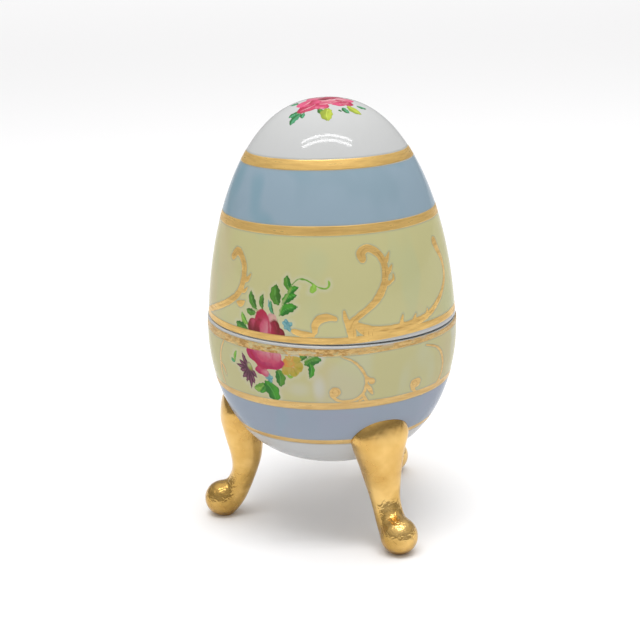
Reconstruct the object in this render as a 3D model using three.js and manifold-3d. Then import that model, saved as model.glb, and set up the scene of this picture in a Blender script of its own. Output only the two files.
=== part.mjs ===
// A porcelain egg box in two pieces, modelled in millimetres with +Z up.
// The lid is the upper shell of the egg and lifts off. The base is the lower shell with its locating lip,
// and three gilt cabriole legs that were luted to it and fired with it, so bowl and legs are one solid.
// Both shells are hollow, with walls of their true thickness.

import * as THREE from 'three';
import { mergeVertices } from 'three/addons/utils/BufferGeometryUtils.js';
import Module from 'manifold-3d';

const wasm = await Module();
wasm.setup();

// ---- Driving dimensions of the egg ----

const EGG_RADIUS = 32.5;
const WIDEST_HEIGHT = 52.4;
const SEAM_HEIGHT = 57.6;

// Above and below its widest level the egg follows radius = R * (1 - rise^power)^fullness,
// where rise goes from 0 at the widest level to 1 at the pole.
const CROWN = { height: 59.7, power: 1.83, fullness: 0.431 };
const BELLY = { height: 34.0, power: 1.87, fullness: 0.33 };

// ---- Driving dimensions of the walls and the joint between the two shells ----

const WALL = 2.8;
const LID_INSET = 0.25;
const RIM_BEVEL = 0.4;
const LIP_CLEARANCE = 0.35;
const LIP_THICKNESS = 1.6;
const LIP_HEIGHT = 3.0;
const LIP_BEVEL = 0.5;
const LIP_ROOT_DEPTH = 2.0;
const LIP_TAPER_DEPTH = 3.0;

// ---- Driving dimensions of the legs ----

// Directions of the legs around the egg's axis, in degrees from +X.
const LEG_DIRECTIONS = [180, -60, 60];

// The leg as its maker would gauge it: at each height, how far its outer face (front) and its inner face (back)
// stand from the egg's axis, and half its width. The first two rows lie inside the bowl's wall.
const LEG_STATIONS = [
  { height: 37.0, front: 27.6, back: 21.6, halfWidth: 6.2 },
  { height: 35.3, front: 29.1, back: 21.0, halfWidth: 7.4 },
  { height: 33.0, front: 29.7, back: 20.2, halfWidth: 7.8 },
  { height: 30.2, front: 30.3, back: 19.5, halfWidth: 7.6 },
  { height: 27.4, front: 30.4, back: 19.2, halfWidth: 6.7 },
  { height: 21.9, front: 29.4, back: 19.4, halfWidth: 5.5 },
  { height: 16.9, front: 28.3, back: 20.0, halfWidth: 4.6 },
  { height: 12.9, front: 28.2, back: 21.1, halfWidth: 4.0 },
  { height: 10.3, front: 29.4, back: 22.1, halfWidth: 3.8 },
  { height: 7.2, front: 31.0, back: 23.4, halfWidth: 3.8 },
  { height: 3.2, front: 31.6, back: 25.5, halfWidth: 3.4 },
  { height: -0.6, front: 31.6, back: 28.8, halfWidth: 2.2 },
];

// A leg's sections are ovals squared a little: 2 is a true ellipse.
const LEG_SQUARENESS = 2.3;

// The ball toe is a little lower than it is wide, and its underside is ground flat where it stands.
const TOE_RADIUS = 4.75;
const TOE_REACH = 31.2;
const TOE_HEIGHT = 4.5;

// ---- How finely the curves are cut into flat faces ----

const TURNS = 64;
const CROWN_STEPS = 14;
const BELLY_STEPS = 12;
const INSIDE_STEPS = 9;
const LEG_SIDES = 18;
const LEG_STEPS = 18;
const TOE_SIDES = 16;
const TOE_STEPS = 10;

// The left leg reaches further than the egg does on its other side, so the axis stands off the frame's centre
// by half the difference, which puts the origin under the middle of the whole box.
const AXIS_OFFSET = (TOE_REACH + TOE_RADIUS - EGG_RADIUS) / 2;

const RIGHT_ANGLE = Math.PI / 2;

// ---- Solids ----

// A closed three.js geometry as a manifold-3d solid.
function solidOf(geometry) {
  const bare = geometry.clone();
  bare.deleteAttribute('normal');
  bare.deleteAttribute('uv');
  const merged = mergeVertices(bare, 1e-4);
  const corners = merged.index.array;
  const triangles = [];
  for (let i = 0; i < corners.length; i += 3) {
    const [a, b, c] = [corners[i], corners[i + 1], corners[i + 2]];
    if (a !== b && b !== c && c !== a) triangles.push(a, b, c);
  }
  const mesh = new wasm.Mesh({
    numProp: 3,
    vertProperties: new Float32Array(merged.attributes.position.array),
    triVerts: new Uint32Array(triangles),
  });
  return new wasm.Manifold(mesh);
}

// A manifold-3d solid as a three.js geometry.
function geometryOf(solid) {
  const mesh = solid.getMesh();
  const geometry = new THREE.BufferGeometry();
  geometry.setAttribute('position', new THREE.BufferAttribute(mesh.vertProperties, 3));
  geometry.setIndex(new THREE.BufferAttribute(mesh.triVerts, 1));
  geometry.computeVertexNormals();
  return geometry;
}

// A solid of revolution about Z, from a profile of [radius, height] that starts and ends on the axis.
function turned(profile) {
  const points = profile.map(([radius, height]) => new THREE.Vector2(radius, height));
  const lathe = new THREE.LatheGeometry(points, TURNS);
  lathe.rotateX(RIGHT_ANGLE);
  return solidOf(lathe);
}

// ---- The egg's outline ----

// Points down or up one half of the egg, from a height to the half's pole, on the surface that lies
// `inside` millimetres within the outer one. Steps are even in angle, so they close up towards the pole.
function eggArc(half, inside, startHeight, steps) {
  const side = half === CROWN ? 1 : -1;
  const radius = EGG_RADIUS - inside;
  const reach = half.height - inside;
  const startRise = (startHeight - WIDEST_HEIGHT) * side / reach;
  const startAngle = Math.asin(startRise);
  const points = [];
  for (let step = 0; step <= steps; step += 1) {
    const angle = THREE.MathUtils.lerp(startAngle, RIGHT_ANGLE, step / steps);
    const rise = step === steps ? 1 : Math.sin(angle);
    const width = radius * (1 - rise ** half.power) ** half.fullness;
    points.push([width, WIDEST_HEIGHT + side * rise * reach]);
  }
  return points;
}

// The radius of the crown's surface, `inside` millimetres within the outer one, at one height.
function crownRadius(inside, height) {
  const rise = (height - WIDEST_HEIGHT) / (CROWN.height - inside);
  return (EGG_RADIUS - inside) * (1 - rise ** CROWN.power) ** CROWN.fullness;
}

// ---- The lid ----

// A shell with its rim ground flat, where it rests on the ledge of the base.
function lidSolid() {
  const wallInside = LID_INSET + WALL;
  const inner = eggArc(CROWN, wallInside, SEAM_HEIGHT + RIM_BEVEL, INSIDE_STEPS).reverse();
  const outer = eggArc(CROWN, LID_INSET, SEAM_HEIGHT + RIM_BEVEL, CROWN_STEPS);
  const rim = [
    [crownRadius(wallInside, SEAM_HEIGHT) + RIM_BEVEL, SEAM_HEIGHT],
    [crownRadius(LID_INSET, SEAM_HEIGHT) - RIM_BEVEL, SEAM_HEIGHT],
  ];
  return turned([...inner, ...rim, ...outer]);
}

// ---- The bowl of the base ----

// The lip stands up inside the lid's rim with a little play all round.
const LIP_OUTER_RADIUS = crownRadius(LID_INSET + WALL, SEAM_HEIGHT) - LIP_CLEARANCE;
const LIP_INNER_RADIUS = LIP_OUTER_RADIUS - LIP_THICKNESS;
const LIP_TOP = SEAM_HEIGHT + LIP_HEIGHT;

// The outside of the bowl with its ledge and lip, still full.
function bowlBlock() {
  const belly = eggArc(BELLY, 0, WIDEST_HEIGHT, BELLY_STEPS).reverse();
  const rim = [
    [crownRadius(0, SEAM_HEIGHT - RIM_BEVEL), SEAM_HEIGHT - RIM_BEVEL],
    [crownRadius(0, SEAM_HEIGHT) - RIM_BEVEL, SEAM_HEIGHT],
    [LIP_OUTER_RADIUS, SEAM_HEIGHT],
    [LIP_OUTER_RADIUS, LIP_TOP - LIP_BEVEL],
    [LIP_OUTER_RADIUS - LIP_BEVEL, LIP_TOP],
    [0, LIP_TOP],
  ];
  return turned([...belly, ...rim]);
}

// The room inside the bowl. It narrows to the lip's inner face under the rim, and runs out over the top.
function bowlCavity() {
  const taperFoot = SEAM_HEIGHT - LIP_ROOT_DEPTH - LIP_TAPER_DEPTH;
  const belly = eggArc(BELLY, WALL, WIDEST_HEIGHT, INSIDE_STEPS).reverse();
  const throat = [
    [crownRadius(WALL, taperFoot), taperFoot],
    [LIP_INNER_RADIUS, SEAM_HEIGHT - LIP_ROOT_DEPTH],
    [LIP_INNER_RADIUS, LIP_TOP + LIP_HEIGHT],
    [0, LIP_TOP + LIP_HEIGHT],
  ];
  return turned([...belly, ...throat]);
}

// ---- A leg ----

// The outer and inner faces, height and half width of the leg, smoothed through its stations: 0 is the top.
const legSide = new THREE.CatmullRomCurve3(
  LEG_STATIONS.map(({ front, back, height }) => new THREE.Vector3(front, back, height)),
);
const legWidth = new THREE.CatmullRomCurve3(
  LEG_STATIONS.map(({ halfWidth }) => new THREE.Vector3(halfWidth, 0, 0)),
);

// One side of a squared oval: a unit cosine or sine, pushed out towards the corners.
const squared = (value) => Math.sign(value) * Math.abs(value) ** (2 / LEG_SQUARENESS);

// The leg's shaft, from a closed unit cylinder whose rings are set to the stations. It points along +X.
function legShaft() {
  const shaft = new THREE.CylinderGeometry(1, 1, 1, LEG_SIDES, LEG_STEPS);
  const position = shaft.attributes.position;
  for (let i = 0; i < position.count; i += 1) {
    const fromTop = 0.5 - position.getY(i);
    const side = legSide.getPoint(fromTop);
    const halfWidth = legWidth.getPoint(fromTop).x;
    const halfDepth = (side.x - side.y) / 2;
    const middle = (side.x + side.y) / 2;
    const out = middle + halfDepth * squared(position.getX(i));
    const across = halfWidth * squared(-position.getZ(i));
    position.setXYZ(i, out, across, side.z);
  }
  return solidOf(shaft);
}

function legSolid() {
  const toe = new THREE.SphereGeometry(TOE_RADIUS, TOE_SIDES, TOE_STEPS);
  toe.rotateX(RIGHT_ANGLE);
  toe.translate(TOE_REACH, 0, TOE_HEIGHT);
  return legShaft().add(solidOf(toe));
}

// ---- The base ----

// What lies below the table, which grinds the toes flat.
function tableBlock() {
  const size = 4 * EGG_RADIUS;
  const block = new THREE.BoxGeometry(size, size, size);
  block.translate(0, 0, -size / 2);
  return solidOf(block);
}

function baseSolid() {
  const leg = legSolid();
  let body = bowlBlock();
  for (const direction of LEG_DIRECTIONS) {
    body = body.add(leg.rotate([0, 0, direction]));
  }
  return body.subtract(bowlCavity()).subtract(tableBlock());
}

// ---- The scene graph ----

const glaze = new THREE.MeshStandardMaterial({ color: 0xddd9a6, roughness: 0.12, metalness: 0 });
const glazeAndGilt = new THREE.MeshStandardMaterial({ color: 0xc9b98c, roughness: 0.15, metalness: 0 });

const lid = new THREE.Mesh(geometryOf(lidSolid()), glaze);
lid.name = 'lid';

const base = new THREE.Mesh(geometryOf(baseSolid()), glazeAndGilt);
base.name = 'base';

const eggBox = new THREE.Group();
eggBox.add(lid, base);
eggBox.position.x = AXIS_OFFSET;

const part = new THREE.Group();
part.add(eggBox);

export default part;
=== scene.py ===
# %% [markdown]
# # A porcelain egg box on three gilt legs
# The box is a slip-cast porcelain egg in two shells. The upper shell lifts off. Three cabriole legs are
# luted to the lower one and covered in burnished gold. Both shells are glazed white, banded in blue and
# cream lustre, and then decorated on top of the glaze: gold lines, gold scrolls and sprays of roses.
#
# The packed model gives the sizes. Every piece made here takes its place from it.

import math

import bpy
import numpy as np
from mathutils import Matrix, Vector


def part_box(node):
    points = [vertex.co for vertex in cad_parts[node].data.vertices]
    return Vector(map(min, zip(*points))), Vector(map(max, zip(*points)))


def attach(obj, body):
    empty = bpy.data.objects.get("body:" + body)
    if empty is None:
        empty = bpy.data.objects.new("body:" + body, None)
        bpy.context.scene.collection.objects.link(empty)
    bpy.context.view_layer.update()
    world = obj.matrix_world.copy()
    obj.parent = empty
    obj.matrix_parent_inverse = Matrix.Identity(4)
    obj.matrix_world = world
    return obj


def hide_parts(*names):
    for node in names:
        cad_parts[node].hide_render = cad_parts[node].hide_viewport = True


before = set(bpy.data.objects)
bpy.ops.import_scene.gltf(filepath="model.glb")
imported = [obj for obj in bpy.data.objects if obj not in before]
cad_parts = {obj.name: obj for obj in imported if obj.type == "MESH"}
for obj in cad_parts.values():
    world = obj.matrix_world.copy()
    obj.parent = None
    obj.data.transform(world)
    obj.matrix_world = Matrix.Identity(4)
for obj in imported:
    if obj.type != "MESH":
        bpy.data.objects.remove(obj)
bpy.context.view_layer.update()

MM = 0.001
lid_low, lid_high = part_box("lid")
base_low, base_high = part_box("base")
AXIS_X = (lid_low.x + lid_high.x) / 2 / MM
AXIS = np.array([AXIS_X, 0, 0])
EGG_RADIUS = (base_high.y - base_low.y) / 2 / MM
SEAM = lid_low.z / MM
EGG_TOP = lid_high.z / MM
LIP_TOP = base_high.z / MM
print(f"egg radius {EGG_RADIUS:.2f} mm, seam at {SEAM:.2f} mm, top at {EGG_TOP:.2f} mm")

# %% [markdown]
# ## The camera
# The box is seen from a little above, with a long lens and a slight tilt. The camera's place is given in
# egg radii, so it would fit a larger egg too.

# %% Camera
CAMERA_RIGHT = -0.0964
CAMERA_BACK = 10.17
CAMERA_UP = 4.619
CAMERA_PITCH = 16.22
CAMERA_ROLL = -1.83
LENS_LENGTH = 73.8
FILM_WIDTH = 36


def new_object(name, data):
    """An object in the scene that holds the given mesh, lamp or camera."""
    made = bpy.data.objects.new(name, data)
    bpy.context.scene.collection.objects.link(made)
    return made


camera_data = bpy.data.cameras.new("camera")
camera_data.lens = LENS_LENGTH
camera_data.sensor_width = FILM_WIDTH
camera_data.clip_start = 10 * MM
camera = new_object("camera", camera_data)
from_axis = Vector((CAMERA_RIGHT, -CAMERA_BACK, CAMERA_UP)) * EGG_RADIUS
camera_place = (from_axis + Vector(AXIS)) * MM
looking = Matrix.Rotation(math.radians(90 - CAMERA_PITCH), 4, "X")
tilted = Matrix.Rotation(math.radians(CAMERA_ROLL), 4, "Z")
camera.matrix_world = Matrix.Translation(camera_place) @ looking @ tilted
bpy.context.scene.camera = camera
bpy.context.scene.view_settings.view_transform = "Standard"
print("camera at", [round(value, 3) for value in camera_place])

# %% [markdown]
# ## Wires between nodes
# Every finish below is a tree of shader nodes, and the shells and the ring of legs come from trees of
# geometry nodes. A node takes values in on its left and gives values out on its right. Here each value
# that a node gives out is held as a wire. Wires can be added and multiplied like numbers, or sent through
# one more node, so a recipe reads like a sum.

# %% Wires


class Wire:
    """A value that comes out of a node and can go into others."""

    def __init__(self, tree, socket):
        self.tree = tree
        self.socket = socket

    def step(self, operation, *others):
        """One step of arithmetic that starts from this wire."""
        return place(self.tree, "ShaderNodeMath", (self, *others), operation=operation)[0]

    def through(self, kind, inputs=None, **settings):
        """What comes out of one more node that has this wire in its first input."""
        return place(self.tree, kind, {0: self, **(inputs or {})}, **settings)[0]

    def ramp(self, low, high, start=0.0, end=1.0):
        """start below low, end above high, and a soft step between them."""
        inputs = {1: low, 2: high, 3: start, 4: end}
        return self.through("ShaderNodeMapRange", inputs, interpolation_type="SMOOTHSTEP")

    def mix(self, first, second):
        """A colour: the first where this wire is 0, and the second where it is 1."""
        return place(self.tree, "ShaderNodeMix", {0: self, 6: first, 7: second}, data_type="RGBA")[2]

    def noise(self, scale, detail=2.0, roughness=0.5, distortion=0.0):
        """Cloudy noise at the place that this wire gives. The scale is in clouds to the metre."""
        inputs = {"Scale": scale, "Detail": detail, "Roughness": roughness, "Distortion": distortion}
        return self.through("ShaderNodeTexNoise", inputs)

    def squeezed(self, share):
        """A place with its height multiplied, which draws a pattern out sideways where share is over 1."""
        return self.through("ShaderNodeMapping", {3: (1.0, 1.0, share)})

    def axis(self, number):
        """A place's number along X, Y or Z, as 0, 1 or 2."""
        return place(self.tree, "ShaderNodeSeparateXYZ", [self])[number]

    def __add__(self, other):
        return self.step("ADD", other)

    def __sub__(self, other):
        return self.step("SUBTRACT", other)

    def __mul__(self, other):
        return self.step("MULTIPLY", other)

    def __truediv__(self, other):
        return self.step("DIVIDE", other)

    def __rsub__(self, other):
        return place(self.tree, "ShaderNodeMath", (other, self), operation="SUBTRACT")[0]


class Wires:
    """All that a node gives out, as wires by number or by name."""

    def __init__(self, tree, sockets):
        self.tree = tree
        self.sockets = sockets

    def __getitem__(self, key):
        return Wire(self.tree, self.sockets[key])


print("wires carry", ", ".join(name for name in vars(Wire) if not name.startswith("_")))

# %% [markdown]
# ## Nodes and groups
# Three helpers use the wires: one fills the inputs of a node, by position or by name, one places a node
# in a tree, and one opens a new group. A group is a recipe of its own with named inputs and outputs,
# which any finish can use.

# %% Nodes and groups


def fill(tree, sockets, entries):
    """Links wires to inputs, and sets plain values on them."""
    for key, value in (entries.items() if isinstance(entries, dict) else enumerate(entries)):
        if isinstance(value, Wire):
            tree.links.new(value.socket, sockets[key])
        else:
            sockets[key].default_value = value


def place(tree, kind, inputs=(), **settings):
    """Adds a node to a tree and gives back what comes out of it."""
    made = tree.nodes.new(kind)
    for name, value in settings.items():
        setattr(made, name, value)
    fill(tree, made.inputs, inputs)
    return Wires(tree, made.outputs)


def vector(tree, *parts):
    """A place or a turn from its three numbers."""
    return place(tree, "ShaderNodeCombineXYZ", parts)[0]


SOCKET_KINDS = {float: "Float", int: "Int", tuple: "Color"}


def new_group(name, kind, inputs, outputs):
    """An empty group. An input is given by its default, or by its kind alone, and an output by its kind."""
    tree = bpy.data.node_groups.new(name, kind)
    for label, default in inputs.items():
        socket_kind = SOCKET_KINDS.get(type(default), default)
        socket = tree.interface.new_socket(label, in_out="INPUT", socket_type="NodeSocket" + socket_kind)
        if socket_kind != default:
            socket.default_value = default
    for label, socket_kind in outputs.items():
        tree.interface.new_socket(label, in_out="OUTPUT", socket_type="NodeSocket" + socket_kind)
    entry = tree.nodes.new("NodeGroupInput")
    result = tree.nodes.new("NodeGroupOutput")
    return tree, Wires(tree, entry.outputs), result.inputs


print("group inputs with a default can be", " or ".join(SOCKET_KINDS.values()))

# %% [markdown]
# ## The outline of the egg
# The egg is turned, so one outline and one axis give its whole shape. Above and below its widest level
# the outline follows a simple rule: radius = R (1 - rise ^ power) ^ fullness, where rise goes from 0 at
# the widest level to 1 at the pole. The lower half is short and full, and the upper one is tall and draws
# in to a rounder tip.

# %% The egg's rule
WIDEST = 1.6123 * EGG_RADIUS
WALL = 2.8
LID_INSET = 0.25
CROWN = {"height": EGG_TOP + LID_INSET - WIDEST, "power": 1.83, "fullness": 0.431, "side": 1}
BELLY = {"height": 1.0462 * EGG_RADIUS, "power": 1.87, "fullness": 0.33, "side": -1}
EGG_FOOT = WIDEST - BELLY["height"]
CURVE_SAMPLES = 2000


def egg_radius(height, inside=0.0):
    """The egg's radius at a height, on the surface that lies `inside` millimetres within the outer one."""
    height = np.asarray(height, float)
    radius = np.zeros_like(height)
    for half in (CROWN, BELLY):
        rise = (height - WIDEST) * half["side"] / (half["height"] - inside)
        value = (EGG_RADIUS - inside) * (1 - np.clip(rise, 0, 1) ** half["power"]) ** half["fullness"]
        radius = np.where(rise >= 0, value, radius)
    return radius


def egg_line(half, inside, start, end, spacing):
    """Points (radius, height) along the outline between two heights, evenly spaced along the curve."""
    reach = half["height"] - inside
    ends = np.clip((np.array([start, end]) - WIDEST) * half["side"] / reach, 0, 1)
    rise = np.sin(np.linspace(*np.arcsin(ends), CURVE_SAMPLES))
    heights = WIDEST + half["side"] * rise * reach
    radii = (EGG_RADIUS - inside) * np.maximum(0, 1 - rise ** half["power"]) ** half["fullness"]
    length = np.concatenate([[0], np.cumsum(np.hypot(np.diff(radii), np.diff(heights)))])
    wanted = np.linspace(0, length[-1], max(2, int(round(length[-1] / spacing)) + 1))
    return list(zip(np.interp(wanted, length, radii), np.interp(wanted, length, heights)))


def rounded(centre, radius, first_angle, last_angle, steps):
    """Points on an arc, for a rounded edge. Angles are in degrees, from straight out, anticlockwise."""
    angles = np.radians(np.linspace(first_angle, last_angle, steps + 1))
    return [(centre[0] + radius * math.cos(a), centre[1] + radius * math.sin(a)) for a in angles]


print(f"crown {CROWN['height']:.2f} mm tall, belly {BELLY['height']:.2f} mm deep")

# %% [markdown]
# ## Turning a shell with Geometry Nodes
# A potter turns a shape by holding one outline against the wheel. A Screw modifier could do it, but it
# spaces its columns evenly. This tree takes the outline as a chain of points and wraps a grid round the
# axis, so that each row of the grid takes its radius and height from one point. Its columns can be
# crowded towards one side, so that the side with the finest painting gets the finest mesh. A mark on the
# outline, 1 where it is lining, picks the finish.

# %% The wheel
WELD = 0.001 * MM


def stored(tree, name, kind):
    """An attribute that a geometry carries."""
    return place(tree, "GeometryNodeInputNamedAttribute", {"Name": name}, data_type=kind)[0]


def build_wheel():
    tree, given, result = new_group(
        "wheel",
        "GeometryNodeTree",
        {
            "Outline": "Geometry", "Columns": 200, "Crowding": 0.0, "Crowded side": 0.0, "Axis": 0.0,
            "Outside finish": "Material", "Inside finish": "Material",
        },
        {"Shell": "Geometry"},
    )
    outline, columns = given["Outline"], given["Columns"]
    rows = place(tree, "GeometryNodeAttributeDomainSize", [outline], component="MESH")["Point Count"]
    index = place(tree, "GeometryNodeInputIndex")[0]
    row = index.step("MODULO", rows)
    column = ((index + 0.25) / rows).step("FLOOR")

    def of_row(value, kind):
        inputs = {"Geometry": outline, "Value": value, "Index": row}
        return place(tree, "GeometryNodeSampleIndex", inputs, data_type=kind)[0]

    spot = of_row(place(tree, "GeometryNodeInputPosition")[0], "FLOAT_VECTOR")
    lining = of_row(stored(tree, "lining", "FLOAT"), "FLOAT")
    even_turn = column / columns * (2 * math.pi)
    turn = even_turn - given["Crowding"] * (even_turn - given["Crowded side"]).step("SINE")
    across = spot.axis(0) * turn.step("SINE") + given["Axis"]
    along = spot.axis(0) * turn.step("COSINE") * -1.0
    grid = {"Size X": 1.0, "Size Y": 1.0, "Vertices X": columns + 1.0, "Vertices Y": rows}
    mark = {"Name": "lining", "Value": lining}
    is_lining = stored(tree, "lining", "FLOAT").through(
        "FunctionNodeCompare", {1: 0.5}, data_type="FLOAT", operation="GREATER_THAN"
    )
    shell = (
        place(tree, "GeometryNodeMeshGrid", grid)[0]
        .through("GeometryNodeStoreNamedAttribute", mark, data_type="FLOAT", domain="POINT")
        .through("GeometryNodeSetPosition", {"Position": vector(tree, across, along, spot.axis(2))})
        .through("GeometryNodeMergeByDistance", {"Distance": WELD})
        .through("GeometryNodeFlipFaces")
        .through("GeometryNodeSetShadeSmooth")
        .through("GeometryNodeRealizeInstances")
        .through("GeometryNodeSetMaterial", {"Material": given["Outside finish"]})
        .through("GeometryNodeSetMaterial", {"Selection": is_lining, "Material": given["Inside finish"]})
    )
    fill(tree, result, {"Shell": shell})
    return tree


WHEEL = build_wheel()
print("wheel built with", len(WHEEL.nodes), "nodes")

# %% [markdown]
# ## From a tree to a plain mesh
# A tree of geometry nodes works on an object as a modifier. Its inputs are set by the identifiers of
# their sockets, and what comes out is then kept as a plain mesh at the origin, because later steps paint
# on its points.

# %% Settled meshes
CROWDING = 0.35
ROSE_SIDE = -15


def plain_mesh(worked):
    """What an object's modifiers make of it, as a mesh of its own. The object itself is done with."""
    bpy.context.view_layer.update()
    mesh = bpy.data.meshes.new_from_object(worked.evaluated_get(bpy.context.evaluated_depsgraph_get()))
    worked.modifiers.clear()
    bpy.data.objects.remove(worked)
    return mesh


def settled(name, source, tree, values):
    """The piece that a geometry tree makes from an object."""
    modifier = source.modifiers.new(tree.name, "NODES")
    modifier.node_group = tree
    for item in tree.interface.items_tree:
        if item.in_out == "INPUT" and item.name in values:
            modifier[item.identifier] = values[item.name]
    mesh = plain_mesh(source)
    mesh.name = name
    mesh.calc_loop_triangles()
    print(name, "has", len(mesh.loop_triangles), "triangles")
    return new_object(name, mesh)


def turned(name, outline, columns, outside, inside):
    """A shell from its outline of (radius, height, lining) in millimetres."""
    chain = bpy.data.meshes.new(name + "_outline")
    points = [(radius * MM, 0, height * MM) for radius, height, _ in outline]
    chain.from_pydata(points, [(i, i + 1) for i in range(len(points) - 1)], [])
    lining = chain.attributes.new("lining", "FLOAT", "POINT")
    lining.data.foreach_set("value", [float(mark) for _, _, mark in outline])
    return settled(name, new_object(chain.name, chain), WHEEL, {
        "Columns": columns,
        "Crowding": CROWDING,
        "Crowded side": math.radians(ROSE_SIDE),
        "Axis": AXIS_X * MM,
        "Outside finish": outside,
        "Inside finish": inside,
    })


print("columns are crowded towards", ROSE_SIDE, "degrees, where the rose will be")

# %% [markdown]
# ## The outlines of the two shells
# Each shell is one closed outline: the outside, the rounded edge of the glaze, and the lining. Rows of
# the mesh lie about 0.3 mm apart where there will be fine painting, and further apart where bands are
# enough. The lid stands in a little from the base, so the white edge of the base shows below it as a thin
# ledge.

# %% Outlines
FINE = 0.29
CAP_SPACING = 0.4
DOME_SPACING = 0.8
PLAIN = 1.6
LINING_SPACING = 3.5
CAP_FOOT = EGG_TOP - 5.9
CREAM_TOP = SEAM + 25.05
CREAM_FOOT = SEAM - 17.4
EDGE = 0.5
LIP_PLAY = 0.35
LIP_THICKNESS = 1.6
LIP_ROOT = SEAM - 2.0
TAPER_FOOT = LIP_ROOT - 3.0
LIP_EDGE = 0.6
LEDGE_FILLET = 0.2


def lid_outline():
    inside = LID_INSET + WALL
    outer_foot = egg_radius(SEAM, LID_INSET) - EDGE
    inner_foot = egg_radius(SEAM, inside) + EDGE
    outside = (
        egg_line(CROWN, LID_INSET, EGG_TOP, CAP_FOOT, CAP_SPACING)[:-1]
        + egg_line(CROWN, LID_INSET, CAP_FOOT, CREAM_TOP, DOME_SPACING)[:-1]
        + egg_line(CROWN, LID_INSET, CREAM_TOP, SEAM + EDGE, FINE)[:-1]
        + rounded((outer_foot, SEAM + EDGE), EDGE, 0, -90, 5)
    )
    lining = (
        rounded((inner_foot, SEAM + EDGE), EDGE, -90, -180, 3)
        + egg_line(CROWN, inside, SEAM + 2 * EDGE, EGG_TOP - WALL, LINING_SPACING)
    )
    return [(*p, 0) for p in outside] + [(*p, 1) for p in lining]


def base_outline():
    lip_outer = egg_radius(SEAM, LID_INSET + WALL) - LIP_PLAY
    lip_inner = lip_outer - LIP_THICKNESS
    lip_shoulder = LIP_TOP - LIP_EDGE
    lining = (
        egg_line(BELLY, WALL, EGG_FOOT + WALL, WIDEST, LINING_SPACING)
        + [(egg_radius(TAPER_FOOT, WALL), TAPER_FOOT), (lip_inner, LIP_ROOT), (lip_inner, lip_shoulder)]
        + rounded((lip_inner + LIP_EDGE, lip_shoulder), LIP_EDGE, 180, 90, 4)
        + rounded((lip_outer - LIP_EDGE, lip_shoulder), LIP_EDGE, 90, 0, 4)
        + [(lip_outer, SEAM + LEDGE_FILLET), (lip_outer + LEDGE_FILLET, SEAM)]
    )
    outside = (
        rounded((egg_radius(SEAM - EDGE) - EDGE, SEAM - EDGE), EDGE, 90, 0, 6)[:-1]
        + egg_line(CROWN, 0, SEAM - EDGE, WIDEST, FINE)[:-1]
        + egg_line(BELLY, 0, WIDEST, CREAM_FOOT, FINE)[:-1]
        + egg_line(BELLY, 0, CREAM_FOOT, EGG_FOOT, PLAIN)
    )
    return [(*p, 1) for p in lining] + [(*p, 0) for p in outside]


print(len(lid_outline()), "rows for the lid,", len(base_outline()), "for the base")

# %% [markdown]
# ## Smooth lines, soft steps and noise
# The brushes and the legs are drawn through a few listed places, so they share one smooth line.
# Meshes are read and written whole, as arrays, because a shell has tens of thousands of points.

# %% Lines and arrays
FINER = 6
NOISE_WAVES = 5


def flowing(route):
    """Rows of numbers with a smooth Catmull-Rom line through them, FINER times as many."""
    rows = np.array(route, float)
    ends = np.vstack([2 * rows[0] - rows[1], rows, 2 * rows[-1] - rows[-2]])
    made = []
    for before, here, there, after in zip(ends, ends[1:], ends[2:], ends[3:]):
        for t in np.arange(FINER) / FINER:
            curve = 2 * here + (there - before) * t + (2 * before - 5 * here + 4 * there - after) * t ** 2
            made.append((curve + (3 * here - before - 3 * there + after) * t ** 3) / 2)
    return np.array(made + [rows[-1]])


def swell(value, low, high):
    """0 below low, 1 above high, and smooth between."""
    t = np.clip((value - low) / (high - low), 0, 1)
    return t * t * (3 - 2 * t)


def mottle(points, size, seed):
    """A cheap smooth noise of about -1 to 1, with patches of about the given size."""
    draw = np.random.default_rng(seed)
    total = np.zeros(len(points))
    for _ in range(NOISE_WAVES):
        direction = draw.normal(size=3)
        direction /= np.linalg.norm(direction)
        total += np.sin(points @ direction * math.pi / size * draw.uniform(0.7, 1.4) + draw.uniform(0, 6.28))
    return total / 3


def read(things, name, width=1, kind=np.float32):
    """One property of all vertices or edges, as an array with a row for each."""
    values = np.empty(len(things) * width, kind)
    things.foreach_get(name, values)
    return values.reshape(-1, width)


def places(mesh):
    """Where a mesh's points are, in millimetres."""
    return read(mesh.vertices, "co", 3).astype(float) / MM


def set_places(mesh, points):
    mesh.vertices.foreach_set("co", (points * MM).astype(np.float32).ravel())
    mesh.update()


def is_outside(mesh):
    """True for the points of a shell that aren't lining."""
    return read(mesh.attributes["lining"].data, "value")[:, 0] < 0.5


print("a smooth line through 4 places has", len(flowing([(0, 0), (1, 0), (1, 1), (0, 1)])), "points")

# %% [markdown]
# ## The canvas
# The decoration could be a picture wrapped round the egg, but a picture blurs when the eye comes close.
# Here it is painted on the shell's own points. Gold, scored lines and enamel are each kept as a distance:
# how far a point of the shell is from the nearest edge of that paint, negative inside it. A distance
# changes evenly from point to point, so the finish can cut a crisp edge anywhere between them. Enamel has
# its colour too, and pale patches of painted reflection are a share. How high each point lies above the
# seam is kept as well, so that bands follow the glaze later.
#
# Places on the side are (turn, rise): degrees round from the front, to the right, and millimetres above
# the seam. Places on the crown are (right, front): millimetres from the tip as seen from above.

# %% Canvas
FAR = 9.0
REACH = 1.4
NUDGE = 0.01
CHART_FOOT = CAP_FOOT - 3
CHART_SPACING = 0.2


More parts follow.
